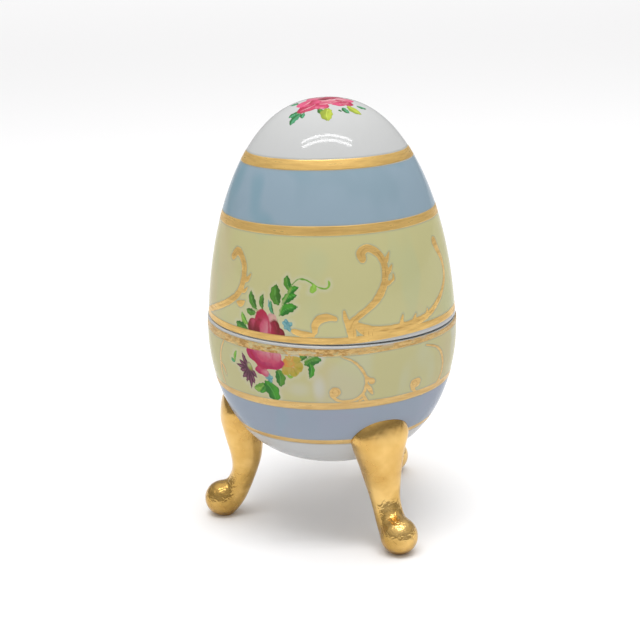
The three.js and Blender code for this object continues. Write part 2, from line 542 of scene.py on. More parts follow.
class Canvas:
    """The outside of a shell, with what has been painted on each of its points so far."""

    def __init__(self, shell, inset, gold_spread, rim_clear):
        self.mesh = shell.data
        self.inset = inset
        self.gold_spread = gold_spread
        self.rim_clear = rim_clear
        self.skin = np.flatnonzero(is_outside(self.mesh))
        self.points = places(self.mesh) - AXIS
        self.normals = read(self.mesh.vertices, "normal", 3).astype(float)
        count = len(self.points)
        self.layers = {name: np.full(count, FAR) for name in ("gilding", "scoring", "ink_edge")}
        # painted reflection: a share of pale white at each point
        self.layers["pearl"] = np.zeros(count)
        self.layers["rise"] = self.points[:, 2] - SEAM
        self.ink = np.zeros((count, 3))
        self.chart = self.side
        self.start = 0.0
        self.strokes = 0

    def side(self, rows):
        """(turn, rise) as places on the shell."""
        turn = np.radians(rows[:, 0] + self.start)
        height = SEAM + rows[:, 1]
        radius = egg_radius(height, self.inset)
        return np.stack([radius * np.sin(turn), -radius * np.cos(turn), height], axis=1)

    def crown(self, rows):
        """(right, front) from the tip as places on the shell."""
        line = np.array(egg_line(CROWN, self.inset, EGG_TOP, CHART_FOOT, CHART_SPACING))
        height = np.interp(np.hypot(rows[:, 0], rows[:, 1]), line[:, 0], line[:, 1])
        return np.stack([rows[:, 0], -rows[:, 1], height], axis=1)

    def axes(self, place):
        """A place on the shell, the directions in which its numbers grow, and how far one of each goes."""
        centre, one, two = self.chart(np.array(place) + NUDGE * np.array([(0, 0), (1, 0), (0, 1)]))
        steps = np.array([one - centre, two - centre]) / NUDGE
        scale = np.linalg.norm(steps, axis=1)
        return centre, steps / scale[:, None], scale

    def near(self, low, high):
        """The outside points in a box, with a margin."""
        spots = self.points[self.skin]
        return self.skin[np.all((spots > low - REACH) & (spots < high + REACH), axis=1)]

    def stroke(self, route):
        """Points near a stroke, with their distance to its edge, and how far along and across it they lie."""
        rows = flowing(route)
        line = self.chart(rows[:, :2])
        widths = rows[:, 2]
        found = self.near(line.min(axis=0) - widths.max(), line.max(axis=0) + widths.max())
        spots, normals = self.points[found], self.normals[found]
        distance = np.full(len(found), FAR)
        along, across = np.zeros((2, len(found)))
        for i, step in enumerate(np.diff(line, axis=0)):
            length = max(1e-9, float(step @ step))
            part = np.clip((spots - line[i]) @ step / length, 0, 1)
            away = spots - line[i] - part[:, None] * step
            width = widths[i] + part * (widths[i + 1] - widths[i])
            gap = np.linalg.norm(away, axis=1) - width
            sideways = np.sum(away * np.cross(normals, step), axis=1) / math.sqrt(length)
            better = gap < distance
            distance[better] = gap[better]
            along[better] = (i + part[better]) / (len(line) - 1)
            across[better] = (sideways / np.maximum(width, 0.05))[better]
        return found, distance, along, across

    def add(self, layer, found, distance):
        self.layers[layer][found] = np.minimum(self.layers[layer][found], distance)

    def keep(self):
        """Stores what was painted as attributes of the mesh, for the finish to read."""
        for name, values in self.layers.items():
            layer = self.mesh.attributes.new(name, "FLOAT", "POINT")
            layer.data.foreach_set("value", values.astype(np.float32))
        colours = np.ones((len(self.ink), 4), np.float32)
        colours[:, :3] = self.ink
        layer = self.mesh.attributes.new("ink", "FLOAT_COLOR", "POINT")
        layer.data.foreach_set("color", colours.ravel())


print("a stroke is looked for within", REACH, "mm of its own box")

# %% [markdown]
# ## Enamel brushes
# A stroke is a row of places, each with the brush's half width there, and a smooth line runs through
# them. Leaves and petals are strokes and ovals with their own shading. Each new dab covers what lies
# under it, wavers a little at its edge as a hand does, and stops short of the rim.

# %% Enamel brushes
SOFT_EDGE = 0.24
EDGE_WAVER = 0.07
WAVER_SIZE = 0.7
STREAKS = 0.1
VEIN_WIDTH = 0.045
TEETH = 34
TOOTH_DEPTH = 0.09
PETAL_LOBES = 3
LOBE_DEPTH = 0.06
LEAF_SHAPE = [(0, 0.1), (0.15, 0.55), (0.35, 0.95), (0.55, 1.0), (0.75, 0.72), (0.9, 0.32), (1, 0.02)]


def lay(canvas, found, distance, tone):
    """Paints over what is there, with a slightly uneven edge."""
    canvas.strokes += 1
    distance = distance + EDGE_WAVER * mottle(canvas.points[found], WAVER_SIZE, canvas.strokes)
    distance = np.maximum(distance, canvas.rim_clear - np.abs(canvas.layers["rise"][found]))
    cover = np.clip(0.5 - distance / SOFT_EDGE, 0, 1)[:, None]
    before = canvas.layers["ink_edge"][found]
    bare = (before > 0) & (distance < before)
    mixed = canvas.ink[found] * (1 - cover) + tone * cover
    mixed[bare] = tone[bare]
    canvas.ink[found] = mixed
    canvas.add("ink_edge", found, distance)


def draw(canvas, route, light, dark=None):
    """A brush stroke that goes from one colour to another."""
    found, distance, along, across = canvas.stroke(route)
    tone = light + ((light if dark is None else dark) - light) * along[:, None]
    streaky = 1 + STREAKS * np.sin(across * 5 + canvas.strokes)
    lay(canvas, found, distance, tone * streaky[:, None])


def leaf(canvas, base, tip, width, light, dark, bend=0.12):
    """A leaf from its stalk to its tip, darker on one half, with a pale vein."""
    base, tip = np.array(base, float), np.array(tip, float)
    scale = canvas.axes(base)[2]
    run = (tip - base) * scale
    aside = np.array([-run[1], run[0]]) * bend / scale
    middle = [base + (tip - base) * part + aside * math.sin(math.pi * part) for part, _ in LEAF_SHAPE]
    found, distance, along, across = canvas.stroke([(*p, width * w) for p, (_, w) in zip(middle, LEAF_SHAPE)])
    distance = distance + TOOTH_DEPTH * width * np.sin(along * TEETH + 2.6 * np.sign(across))
    half = swell(across + 0.25 * np.sin(along * 14), -0.5, 0.5)[:, None]
    tone = dark + (light - dark) * (0.15 + 0.75 * half)
    rim = swell(distance, -0.22 * width, 0.0)[:, None]
    tone = tone + (dark * 0.85 - tone) * rim * 0.6
    lay(canvas, found, distance, tone)
    found, distance, _, _ = canvas.stroke([(*p, VEIN_WIDTH) for p in middle[1:6]])
    pale = light * 1.25 + 0.05
    cover = 0.75 * swell(-distance, -0.12, 0.05)[:, None]
    canvas.ink[found] += (pale - canvas.ink[found]) * cover


def petal(canvas, place, across, up, tilt, light, dark, shade=90, rim=None):
    """An oval petal, light on one side and dark towards the direction `shade`, in degrees."""
    centre, directions, _ = canvas.axes(place)
    reach = max(across, up)
    found = canvas.near(centre - reach, centre + reach)
    right, rise = directions @ (canvas.points[found] - centre).T
    turn, toward = math.radians(tilt), math.radians(shade)
    long = (right * math.cos(turn) + rise * math.sin(turn)) / across
    wide = (rise * math.cos(turn) - right * math.sin(turn)) / up
    size = np.hypot(long, wide)
    angle = np.arctan2(wide, long)
    lobes = 1 + LOBE_DEPTH * np.sin(PETAL_LOBES * angle + canvas.strokes)
    distance = (size - lobes) * min(across, up)
    streaky = 0.12 * np.sin(angle * 9 + canvas.strokes) * np.clip(size, 0, 1)
    shaded = (right * math.cos(toward) + rise * math.sin(toward)) / reach + streaky
    tone = light + (dark - light) * swell(shaded, -0.75, 0.75)[:, None]
    edge = dark if rim is None else rim
    tone = tone + (edge - tone) * 0.7 * swell(distance, -0.45, -0.05)[:, None]
    lay(canvas, found, distance, tone)


def floret(canvas, centre, tips, width, light, dark, bend=0.0):
    """Narrow petals from one centre to the given tips."""
    for tip in tips:
        leaf(canvas, centre, tip, width, light, dark, bend)


print("enamel brushes ready, with an edge", SOFT_EDGE, "mm soft")

# %% [markdown]
# ## Gold brushes and painted reflection
# Gold is laid as a paste that stands up a little, and some lines are scored into it with a needle, which
# is drawn along the middle of a scroll or curled up in a bud. A soft pale patch paints a reflection on
# the lustre.

# %% Gold brushes and painted reflection
NEEDLE = 0.02
GOLD_WAVER = 0.06
NEEDLE_WAVER = 0.1
NEEDLE_SEED = 50
CURL_STEPS = 9
MM_PER_DEGREE = 0.56


def gild(canvas, route, scored=False):
    """A line of gold, with a finer line drawn along its middle if it is scored."""
    found, distance, _, _ = canvas.stroke([(x, y, width * canvas.gold_spread) for x, y, width in route])
    canvas.strokes += 1
    canvas.add("gilding", found, distance + GOLD_WAVER * mottle(canvas.points[found], 0.9, canvas.strokes))
    if scored:
        found, distance, _, _ = canvas.stroke([(x, y, NEEDLE) for x, y, _ in route[:-1]])
        waver = NEEDLE_WAVER * mottle(canvas.points[found], 2.0, canvas.strokes + NEEDLE_SEED)
        canvas.add("scoring", found, distance + waver)


def barb(canvas, root, tip, widths, sag=0.0):
    """A short spur of gold from a scroll."""
    middle = ((root[0] + tip[0]) / 2, (root[1] + tip[1]) / 2 - sag)
    gild(canvas, [(*spot, width) for spot, width in zip((root, middle, tip), widths)])


def score(canvas, route):
    """A fine line drawn into the gold."""
    found, distance, _, _ = canvas.stroke(route)
    canvas.add("scoring", found, distance)


def bud(canvas, turn, rise, size, breadth=0.2):
    """A round gold bud with a curl scored into it."""
    gild(canvas, [(turn, rise, size), (turn + breadth, rise + 0.1, size)])
    curl = []
    for step in range(CURL_STEPS):
        angle = math.radians(-60 + step * 45)
        reach = size * 0.8 * (1 - step / 11)
        curl.append((turn + reach * math.cos(angle) / MM_PER_DEGREE, rise + reach * math.sin(angle), 0.03))
    score(canvas, curl)


def paint_pale_reflection(canvas, place, across, up, amount):
    """A soft pale patch of painted reflection on the lustre."""
    centre, directions, _ = canvas.axes(place)
    right, rise = directions @ (canvas.points[canvas.skin] - centre).T
    patch = amount * (1 - swell(np.hypot(right / across, rise / up), 0.1, 1.0))
    canvas.layers["pearl"][canvas.skin] = np.maximum(canvas.layers["pearl"][canvas.skin], patch)


print("gold brushes ready, with a needle", NEEDLE, "mm fine")

# %% [markdown]
# ## The palette
# Enamel colours as they look when fired: a crimson for roses with its paler pinks, several greens, and
# small amounts of mauve, yellow, orange and turquoise.

# %% Palette


def linear(*levels):
    """A colour given as it looks on a screen, 0 to 255, as the linear colour that Blender mixes with."""
    shares = [level / 255 for level in levels]
    return (*(s / 12.92 if s <= 0.04045 else ((s + 0.055) / 1.055) ** 2.4 for s in shares), 1.0)


def paint(red, green, blue):
    return np.array(linear(red, green, blue)[:3])


CRIMSON = paint(162, 18, 62)
DEEP_CRIMSON = paint(104, 0, 28)
ROSE = paint(184, 66, 98)
PALE_ROSE = paint(196, 134, 144)
BLUSH = paint(196, 160, 142)
BRIGHT_ROSE = paint(205, 78, 118)
MAGENTA = paint(166, 26, 84)
LEAF = paint(78, 136, 46)
DARK_LEAF = paint(40, 90, 28)
FRESH = paint(62, 146, 38)
DEEP_GREEN = paint(20, 98, 32)
SPRING = paint(128, 172, 66)
TEAL_LEAF = paint(70, 150, 108)
LIME = paint(176, 190, 62)
OLIVE = paint(132, 146, 40)
TURQUOISE = paint(112, 158, 158)
DEEP_TURQUOISE = paint(74, 136, 150)
MAUVE = paint(112, 58, 84)
DEEP_MAUVE = paint(64, 22, 48)
YELLOW = paint(176, 156, 50)
ORANGE = paint(200, 132, 58)
BUFF = paint(178, 156, 76)
TWIG = paint(176, 182, 134)
STALK = paint(120, 158, 70)
print("crimson mixes as", CRIMSON.round(3))

# %% [markdown]
# ## What is painted on the lid
# A half-open rose rises out of the gold rim with leaves fanned behind it, and a tendril runs off to the
# right. Beside it a raised scroll climbs from the rim and curls over, with three barbs on its back, and a
# long low scroll runs from its foot round to the side. The whole design comes twice, front and back.

# %% Lid decoration


def lid_spray(canvas):
    for shape in (
        ((-36.2, 6.4), (-41.6, 6.7), 0.8, LEAF, DARK_LEAF),
        ((-35.6, 7.0), (-39.2, 11.4), 0.95, LEAF, DARK_LEAF),
        ((-32.4, 7.3), (-32.4, 11.0), 0.7, LEAF, DARK_LEAF),
        ((-40.6, 3.2), (-44.4, 5.9), 0.75, SPRING, LEAF),
        ((-41.0, 2.2), (-47.8, 3.2), 1.15, LEAF, DEEP_GREEN),
        ((-26.2, 5.8), (-28.2, 9.8), 0.5, TEAL_LEAF, DARK_LEAF),
        ((-24.0, 6.3), (-15.6, 8.5), 1.2, FRESH, DEEP_GREEN),
        ((-22.7, 9.1), (-16.0, 11.3), 1.0, FRESH, DEEP_GREEN),
        ((-24.4, 8.7), (-25.8, 13.6), 1.4, LEAF, DARK_LEAF),
        ((-20.0, 11.3), (-15.0, 13.2), 0.75, FRESH, DEEP_GREEN),
        ((-18.9, 12.4), (-20.6, 16.0), 0.9, LEAF, DEEP_GREEN),
    ):
        leaf(canvas, *shape)
    draw(canvas, [(-25, 4.8, 0.14), (-22.8, 8.8, 0.16), (-20.7, 10.8, 0.2), (-18.6, 13, 0.2)], TWIG, STALK)
    draw(canvas, [(-33, 7.3, 0.1), (-35, 6.8, 0.1), (-38, 7.1, 0.08)], TWIG)
    draw(canvas, [(-29.4, 9.6, 0.2), (-29.3, 8.2, 0.25)], TURQUOISE)
    tendril = [
        (-18.4, 13.6, 0.15), (-15.8, 14.9, 0.19), (-13, 15.1, 0.22), (-10.4, 14.6, 0.2), (-7.4, 13.6, 0.18),
        (-4.8, 13.0, 0.2), (-2.4, 13.0, 0.24), (-1.3, 13.8, 0.28), (-1.6, 14.7, 0.22),
    ]
    draw(canvas, tendril, LEAF, SPRING)
    leaf(canvas, (-8.2, 14.1), (-10.4, 12.0), 0.75, SPRING * 1.1, SPRING, bend=0.2)
    tips = ((-21.2, 5.7), (-17.6, 4.8), (-18.7, 2.9), (-21.8, 3.5), (-22.6, 4.9))
    floret(canvas, (-20.3, 4.2), tips, 0.5, TURQUOISE, DEEP_TURQUOISE)
    for shape in (
        ((-27.6, 5.0), 1.3, 1.7, 20, BLUSH, PALE_ROSE, 200),
        ((-24.0, 2.1), 1.4, 1.5, 0, CRIMSON, DEEP_CRIMSON, -20),
        ((-26.6, 3.2), 1.7, 1.9, -20, CRIMSON, DEEP_CRIMSON, 20),
        ((-37.0, 2.9), 2.0, 2.0, 30, ROSE, DEEP_CRIMSON, 215),
        ((-32.6, 4.7), 2.1, 2.5, 20, ROSE, CRIMSON, 120),
        ((-34.6, 3.2), 1.2, 2.2, -35, CRIMSON, DEEP_CRIMSON, 250),
        ((-31.0, 2.7), 1.6, 2.5, -8, PALE_ROSE, ROSE, 160),
    ):
        petal(canvas, *shape)
    draw(canvas, [(-29.2, 1.4, 0.3), (-29.0, 3.2, 0.28), (-29.6, 5.2, 0.12)], ROSE, CRIMSON)
    draw(canvas, [(-25.0, 1.6, 0.12), (-25.3, 3.2, 0.14), (-26.2, 4.6, 0.08)], DEEP_CRIMSON, CRIMSON)


def lid_scrolls(canvas):
    gild(canvas, [
        (14.6, 19.3, 0.66), (14.0, 20.6, 0.8), (16.3, 21.6, 0.7), (19.3, 21.4, 0.66), (22.3, 20.3, 0.62),
        (24.5, 18.4, 0.6), (25.2, 16.2, 0.62), (24.7, 14.0, 0.62), (23.6, 12.4, 0.64), (21.8, 10.8, 0.7),
        (19.0, 9.0, 0.62), (15.0, 7.4, 0.52), (11.2, 6.1, 0.5), (8.4, 5.0, 0.6), (7.2, 3.6, 0.7),
        (8.1, 2.1, 0.6),
    ], scored=True)
    for turn, rise, run, climb in ((24.8, 17.6, 3.6, 2.6), (25.0, 15.0, 4.1, 2.2), (24.2, 13.2, 4.0, 0.2)):
        barb(canvas, (turn, rise), (turn + run, rise + climb), (0.45, 0.4, 0.1), sag=0.3)
    gild(canvas, [(28.0, 13.4, 0.3), (29.0, 13.9, 0.25), (29.1, 15.0, 0.12)])
    gild(canvas, [(4.9, 7.4, 0.2), (5.5, 5.6, 0.45), (7.6, 3.6, 0.75), (8.0, 1.9, 0.7)])
    hook = [(0.9, 5.9, 0.35), (-2.9, 6.2, 0.6), (-6.1, 5.7, 0.68), (-7.9, 4.5, 0.62), (-8.0, 3.2, 0.45)]
    gild(canvas, hook, scored=True)
    gild(canvas, [(-8.6, 2.4, 0.3), (-13.0, 2.6, 0.5), (-17.0, 3.0, 0.45), (-18.6, 3.2, 0.1)])
    gild(canvas, [(9.2, 4.6, 0.4), (12.7, 3.5, 0.75), (17.0, 2.6, 0.95)])
    for turn in (9.0, 11.2, 13.4, 15.6, 17.4):
        score(canvas, [(turn, 4.4 - 0.14 * (turn - 9), 0.03), (turn - 0.5, 2.0, 0.03)])
    gild(canvas, [
        (17.6, 3.0, 0.62), (24.7, 2.8, 0.62), (30.5, 2.9, 0.6), (36.3, 3.1, 0.58), (42, 3.5, 0.52),
        (48.5, 4.2, 0.45), (53.9, 5.4, 0.45), (59.5, 7.0, 0.46), (64.0, 9.3, 0.48), (66.3, 12.0, 0.5),
        (65.6, 15.1, 0.55), (62.6, 17.9, 0.75), (61.2, 19.8, 0.9),
    ], scored=True)
    for turn, rise, run, climb in ((30.4, 3.1, 2.0, 2.2), (37.3, 3.3, 2.3, 1.6), (46.2, 3.8, 0.8, 1.4)):
        barb(canvas, (turn, rise), (turn + run, rise + climb), (0.35, 0.3, 0.12))
    gild(canvas, [
        (-53.6, 18.6, 0.7), (-50.9, 20.0, 0.72), (-47.6, 19.1, 0.62), (-45.0, 17.2, 0.6), (-44.4, 15.4, 0.6),
        (-44.6, 13.4, 0.62), (-45.7, 11.4, 0.62), (-48.2, 9.5, 0.62), (-52.2, 7.9, 0.62), (-58.4, 6.2, 0.6),
        (-65.4, 4.7, 0.6), (-73.0, 3.2, 0.55), (-80.0, 2.0, 0.5),
    ], scored=True)
    gild(canvas, [(-44.6, 13.2, 0.4), (-41.8, 13.9, 0.38), (-40.2, 15.2, 0.12)])
    gild(canvas, [(-46.0, 11.0, 0.3), (-43.6, 10.8, 0.35), (-41.2, 12.0, 0.1)])
    gild(canvas, [(-47.7, 7.7, 0.2), (-45.4, 7.6, 0.6), (-43.0, 8.4, 0.2)])


print("lid decoration planned")

# %% [markdown]
# ## What is painted on the crown
# A loose bunch of open roses lies on the very top of the egg, a little towards the front, with leaves
# round its edge. Here the brushes work in millimetres from the tip.

# %% Crown decoration


def crown_spray(canvas):
    canvas.chart = canvas.crown
    for shape in (
        ((-6.0, 9.0), (-9.4, 8.5), 1.0, TEAL_LEAF, DEEP_GREEN),
        ((-6.2, 9.2), (-8.9, 11.4), 1.0, TEAL_LEAF, DEEP_GREEN),
        ((-5.4, 9.2), (-5.8, 11.0), 0.6, TEAL_LEAF, DARK_LEAF),
        ((-7.0, 3.4), (-9.0, 1.2), 0.8, TEAL_LEAF, DARK_LEAF),
        ((-1.6, 8.8), (-0.4, 11.0), 0.8, LEAF, DARK_LEAF),
        ((0.6, 9.0), (0.5, 13.1), 1.5, LIME, OLIVE),
        ((4.2, 8.0), (5.6, 9.8), 0.8, TEAL_LEAF, DARK_LEAF),
        ((5.4, 6.8), (8.6, 8.5), 1.2, LIME, OLIVE),
        ((7.4, 5.2), (10.0, 4.2), 0.7, TEAL_LEAF, DARK_LEAF),
        ((4.6, -1.2), (7.8, -3.6), 1.0, FRESH, DARK_LEAF),
        ((-4.0, -1.4), (-6.6, -4.4), 1.0, LEAF, DARK_LEAF),
        ((0.4, -2.6), (0.8, -6.4), 1.1, LIME, OLIVE),
    ):
        leaf(canvas, *shape)
    for shape in (
        ((-4.6, 7.4), 2.7, 1.9, -15, ROSE, CRIMSON, 240),
        ((-5.0, 4.6), 2.3, 2.1, 20, ROSE, BRIGHT_ROSE, 180),
        ((-2.4, 1.0), 2.6, 2.4, 0, PALE_ROSE, BRIGHT_ROSE, 120),
        ((1.8, 0.4), 2.6, 2.4, 30, ROSE, CRIMSON, 60),
        ((4.6, 2.6), 2.4, 2.2, 0, PALE_ROSE, BRIGHT_ROSE, 20),
        ((2.9, 5.4), 2.5, 2.0, 10, BRIGHT_ROSE, CRIMSON, 300),
        ((5.2, 5.2), 1.7, 1.4, -20, ROSE, CRIMSON, 300),
        ((-1.6, 7.4), 2.4, 1.6, 10, BRIGHT_ROSE, CRIMSON, 270),
        ((0.2, 4.6), 2.3, 2.4, 0, PALE_ROSE * 1.15, ROSE, 90),
        ((-2.8, 4.6), 1.6, 1.7, 30, BRIGHT_ROSE, CRIMSON, 200),
        ((-0.4, 2.4), 1.5, 1.3, 0, CRIMSON, DEEP_CRIMSON, 90),
    ):
        petal(canvas, *shape)
    for here, there, width in (
        ((-6.4, 8.0), (-2.6, 6.4), 0.18),
        ((-5.6, 5.6), (-3.6, 3.0), 0.22),
        ((-1.8, 6.6), (1.2, 5.8), 0.24),
        ((-0.6, 8.4), (-2.6, 7.8), 0.16),
        ((3.4, 6.2), (5.6, 4.4), 0.2),
        ((4.8, 3.4), (2.8, 1.6), 0.22),
        ((0.8, 3.2), (-0.8, 4.6), 0.26),
    ):
        middle = ((here[0] + there[0]) / 2 + 0.3, (here[1] + there[1]) / 2 + 0.3)
        draw(canvas, [(*here, 0.06), (*middle, width), (*there, 0.06)], PALE_ROSE * 1.2)
    draw(canvas, [(1.2, 6.6, 0.1), (2.8, 4.6, 0.14), (4.6, 4.2, 0.1)], PALE_ROSE)
    draw(canvas, [(3.2, 9.4, 0.3), (3.6, 9.6, 0.25)], DARK_LEAF)


print("crown decoration planned")

# %% [markdown]
# ## What is painted on the base
# The same rose goes on below the seam as an open cup, with a mauve aster and a yellow flower beside it
# and leaves hanging under it. Thin gold scrolls hang from the rim. Two of them end in a round bud, and
# the lower gold line cuts the whole band off.

# %% Base decoration


def base_spray(canvas):
    # painted reflections: pale patches on the lustre of the base
    paint_pale_reflection(canvas, (-7.0, -11.5), 2.4, 5.0, 1.0)
    paint_pale_reflection(canvas, (-16.0, -12.0), 4.5, 3.0, 0.5)
    paint_pale_reflection(canvas, (70.0, -8.0), 3.0, 5.0, 0.5)
    for shape in (
        ((-48.7, -7.3), (-47.4, -4.1), 0.5, SPRING, FRESH),
        ((-48.8, -7.3), (-51.6, -6.6), 0.5, TEAL_LEAF, LEAF),
        ((-14.6, -4.2), (-11.4, -2.4), 0.75, LEAF, DARK_LEAF),
        ((-12.6, -5.4), (-5.2, -3.6), 1.3, LEAF, DEEP_GREEN),
        ((-10.6, -4.8), (-10.8, -9.0), 0.8, FRESH, DEEP_GREEN),
        ((-25.3, -7.2), (-24.6, -11.7), 1.3, LEAF, DEEP_GREEN),
        ((-31.8, -11.4), (-38.8, -13.3), 1.15, SPRING, LEAF),
        ((-32.0, -12.0), (-35.8, -14.2), 0.6, FRESH, DEEP_GREEN),
        ((-31.9, -10.8), (-27.6, -16.2), 1.8, FRESH, DEEP_GREEN),
    ):
        leaf(canvas, *shape)
    draw(canvas, [(-13.6, -4.5, 0.12), (-11, -3.4, 0.14), (-8.6, -2.7, 0.12)], TWIG)
    draw(canvas, [(-20.4, -8.4, 0.3), (-19.4, -8.9, 0.4), (-18.4, -8.6, 0.25)], SPRING)
    aster = (
        (-43.9, -4.0), (-45.9, -6.4), (-48.2, -7.8), (-46.4, -9.2), (-45.2, -11.2), (-42.8, -12.2),
        (-40.4, -13.6), (-38.0, -12.4), (-36.0, -10.4),
    )
    floret(canvas, (-40.2, -8.0), aster, 0.62, MAUVE, DEEP_MAUVE, bend=0.05)
    petal(canvas, (-39.6, -7.6), 0.8, 1.3, 30, TWIG, OLIVE, -60, MAUVE)
    tips = ((-28.4, -10.8), (-31.3, -9.6), (-29.7, -8.6), (-27.8, -9.4))
    floret(canvas, (-29.6, -9.7), tips, 0.55, TURQUOISE, DEEP_TURQUOISE)
    for shape in (
        ((-20.8, -7.0), 1.5, 1.3, 60),
        ((-17.8, -7.4), 1.5, 1.2, -20),
        ((-15.4, -5.8), 1.2, 1.6, 20),
        ((-16.6, -3.8), 1.3, 0.9, 0),
    ):
        petal(canvas, *shape, BUFF, YELLOW * 0.9, -70, BUFF)
    petal(canvas, (-20.0, -5.0), 1.5, 1.3, 0, ORANGE, BUFF, 0, ORANGE * 1.05)
    floret(canvas, (-19.0, -4.6), ((-21.6, -3.0), (-19.6, -2.7), (-17.8, -2.9)), 0.45, BUFF, ORANGE)
    for turn, rise in ((-14.6, -6.4), (-16.6, -8.0), (-19.2, -8.2), (-14.8, -4.4)):
        draw(canvas, [(-18.2, -5.8, 0.06), (turn, rise, 0.1)], ORANGE, OLIVE)
    for shape in (
        ((-33.8, -7.9), 1.5, 1.2, 0, ROSE, MAGENTA, 240),
        ((-31.4, -8.6), 1.2, 0.9, 0, PALE_ROSE, ROSE, 240),
        ((-36.0, -3.4), 2.6, 2.9, 35, ROSE, MAGENTA, 205),
        ((-31.0, -3.7), 3.6, 3.6, 15, PALE_ROSE, MAGENTA, 240),
        ((-25.2, -5.6), 1.8, 1.6, 10, ROSE, MAGENTA, -40),
        ((-28.4, -3.2), 3.0, 2.6, -10, PALE_ROSE, ROSE, 250),
        ((-31.6, -3.4), 2.0, 2.4, 20, PALE_ROSE, ROSE, 250),
    ):
        petal(canvas, *shape)
    draw(canvas, [
        (-38.4, -3.6, 0.3), (-36.2, -5.6, 0.45), (-33.0, -6.9, 0.5), (-29.6, -7.0, 0.42), (-26.0, -7.0, 0.3),
    ], CRIMSON, MAGENTA)
    for top, foot in (
        ((-34.6, -2.8), (-33.0, -5.4)),
        ((-30.6, -2.6), (-30.4, -5.6)),
        ((-27.0, -2.8), (-27.6, -5.2)),
    ):
        draw(canvas, [(*top, 0.05), (*foot, 0.12)], ROSE)


def base_scrolls(canvas):
    gild(canvas, [
        (3.2, -2.8, 0.25), (7.5, -4.2, 0.35), (10.4, -6.0, 0.38), (12.5, -8.0, 0.38), (13.6, -9.8, 0.4),
        (13.4, -11.8, 0.4), (12.3, -13.4, 0.42), (10.0, -14.6, 0.42), (6.7, -15.2, 0.42), (3.2, -15.2, 0.4),
        (0.2, -14.6, 0.42), (-1.6, -13.4, 0.5),
    ])
    bud(canvas, -0.2, -12.7, 1.4)
    gild(canvas, [(13.6, -9.2, 0.35), (15.0, -9.8, 0.4), (16.0, -10.3, 0.85), (16.2, -10.4, 0.85)])
    gild(canvas, [(13.6, -11.0, 0.3), (15.2, -12.4, 0.62), (16.5, -13.8, 0.3)])
    gild(canvas, [(12.2, -13.8, 0.4), (13.4, -15.0, 0.5), (14.8, -16.2, 0.4)])
    gild(canvas, [(10.6, -15.4, 0.3), (12.6, -14.8, 0.3)])
    gild(canvas, [
        (44.6, -3.0, 0.32), (51.0, -4.7, 0.42), (55.8, -7.5, 0.5), (58.6, -11.0, 0.55), (58.2, -13.8, 0.52),
        (55.4, -15.9, 0.48), (50.0, -16.8, 0.45), (43.4, -17.0, 0.42), (39.8, -16.0, 0.42),
        (37.0, -14.4, 0.5),
    ])
    bud(canvas, 38.0, -13.4, 1.4, breadth=1.6)
    gild(canvas, [(56.8, -15.2, 0.3), (59.0, -16.0, 0.4), (61.0, -17.0, 0.3)])
    gild(canvas, [
        (-57.4, -3.0, 0.3), (-60.4, -6.0, 0.4), (-61.8, -9.6, 0.42), (-62.4, -12.4, 0.4), (-61.4, -15.0, 0.3),
    ])
    gild(canvas, [(-61.6, -9.0, 0.3), (-58.8, -10.4, 0.5), (-57.8, -12.2, 0.2)])


print("base decoration planned")

# %% [markdown]
# ## Shader groups shared by the finishes
# Four small groups do the work that both shells share. `turned band` marks the porcelain between two
# heights, as a brush held against the turning wheel would leave it. `lustre` gives the slow drift of
# colour in a lustre glaze. `glaze skin` is the very faint orange peel that any fired glaze has. `gilding`
# turns the painted distances into gold: where it lies, its colour, how rough it is, how much it stands
# up, where it is worn bare, and a grey edge round it, partly its outline and partly painted shadow.

# %% Shader groups
BAND_EDGE = 0.06
GOLD_THICKNESS = 0.06
SCORE_DEPTH = 0.03


def on_piece(tree):
    """The place on the piece itself, in metres."""
    return place(tree, "ShaderNodeTexCoord")["Object"]


def band_group():
    tree, given, result = new_group(
        "turned band",
        "ShaderNodeTree",
        {"Height": 0.0, "Low": 0.0, "High": 1.0, "Waver": 0.0},
        {"Mask": "Float", "Inside": "Float"},
    )
    above = given["Height"] - given["Low"]
    below = given["High"] - given["Height"]
    inside = above.step("MINIMUM", below) + given["Waver"]
    fill(tree, result, {"Mask": inside.ramp(-BAND_EDGE, BAND_EDGE), "Inside": inside})
    return tree


def lustre_group():
    tree, given, result = new_group(
        "lustre",
        "ShaderNodeTree",
        {
            "Colour": (0.5, 0.5, 0.3, 1), "Warm": (0.5, 0.4, 0.3, 1), "Cool": (0.4, 0.5, 0.4, 1),
            "Amount": 0.5, "Patches to the metre": 60.0,
        },
        {"Colour": "Color"},
    )
    where = on_piece(tree).squeezed(0.6)
    patches = given["Patches to the metre"]
    warm_share = where.noise(patches).ramp(0.5, 0.68) * given["Amount"]
    cool_share = where.noise(patches * 1.7, detail=1.0).ramp(0.52, 0.7) * given["Amount"]
    warmed = warm_share.mix(given["Colour"], given["Warm"])
    fill(tree, result, {"Colour": cool_share.mix(warmed, given["Cool"])})
    return tree


def skin_group():
    tree, given, result = new_group(
        "glaze skin",
        "ShaderNodeTree",
        {"Ripple": 0.01, "Least roughness": 0.08},
        {"Height": "Float", "Roughness": "Float"},
    )
    where = on_piece(tree)
    height = where.noise(220.0, detail=1.0) * 0.25 + where.noise(70.0, detail=1.0)
    handled = where.noise(95.0, detail=4.0, roughness=0.7).ramp(0.45, 0.75) * 0.06
    fill(tree, result, {"Height": height * given["Ripple"], "Roughness": handled + given["Least roughness"]})
    return tree


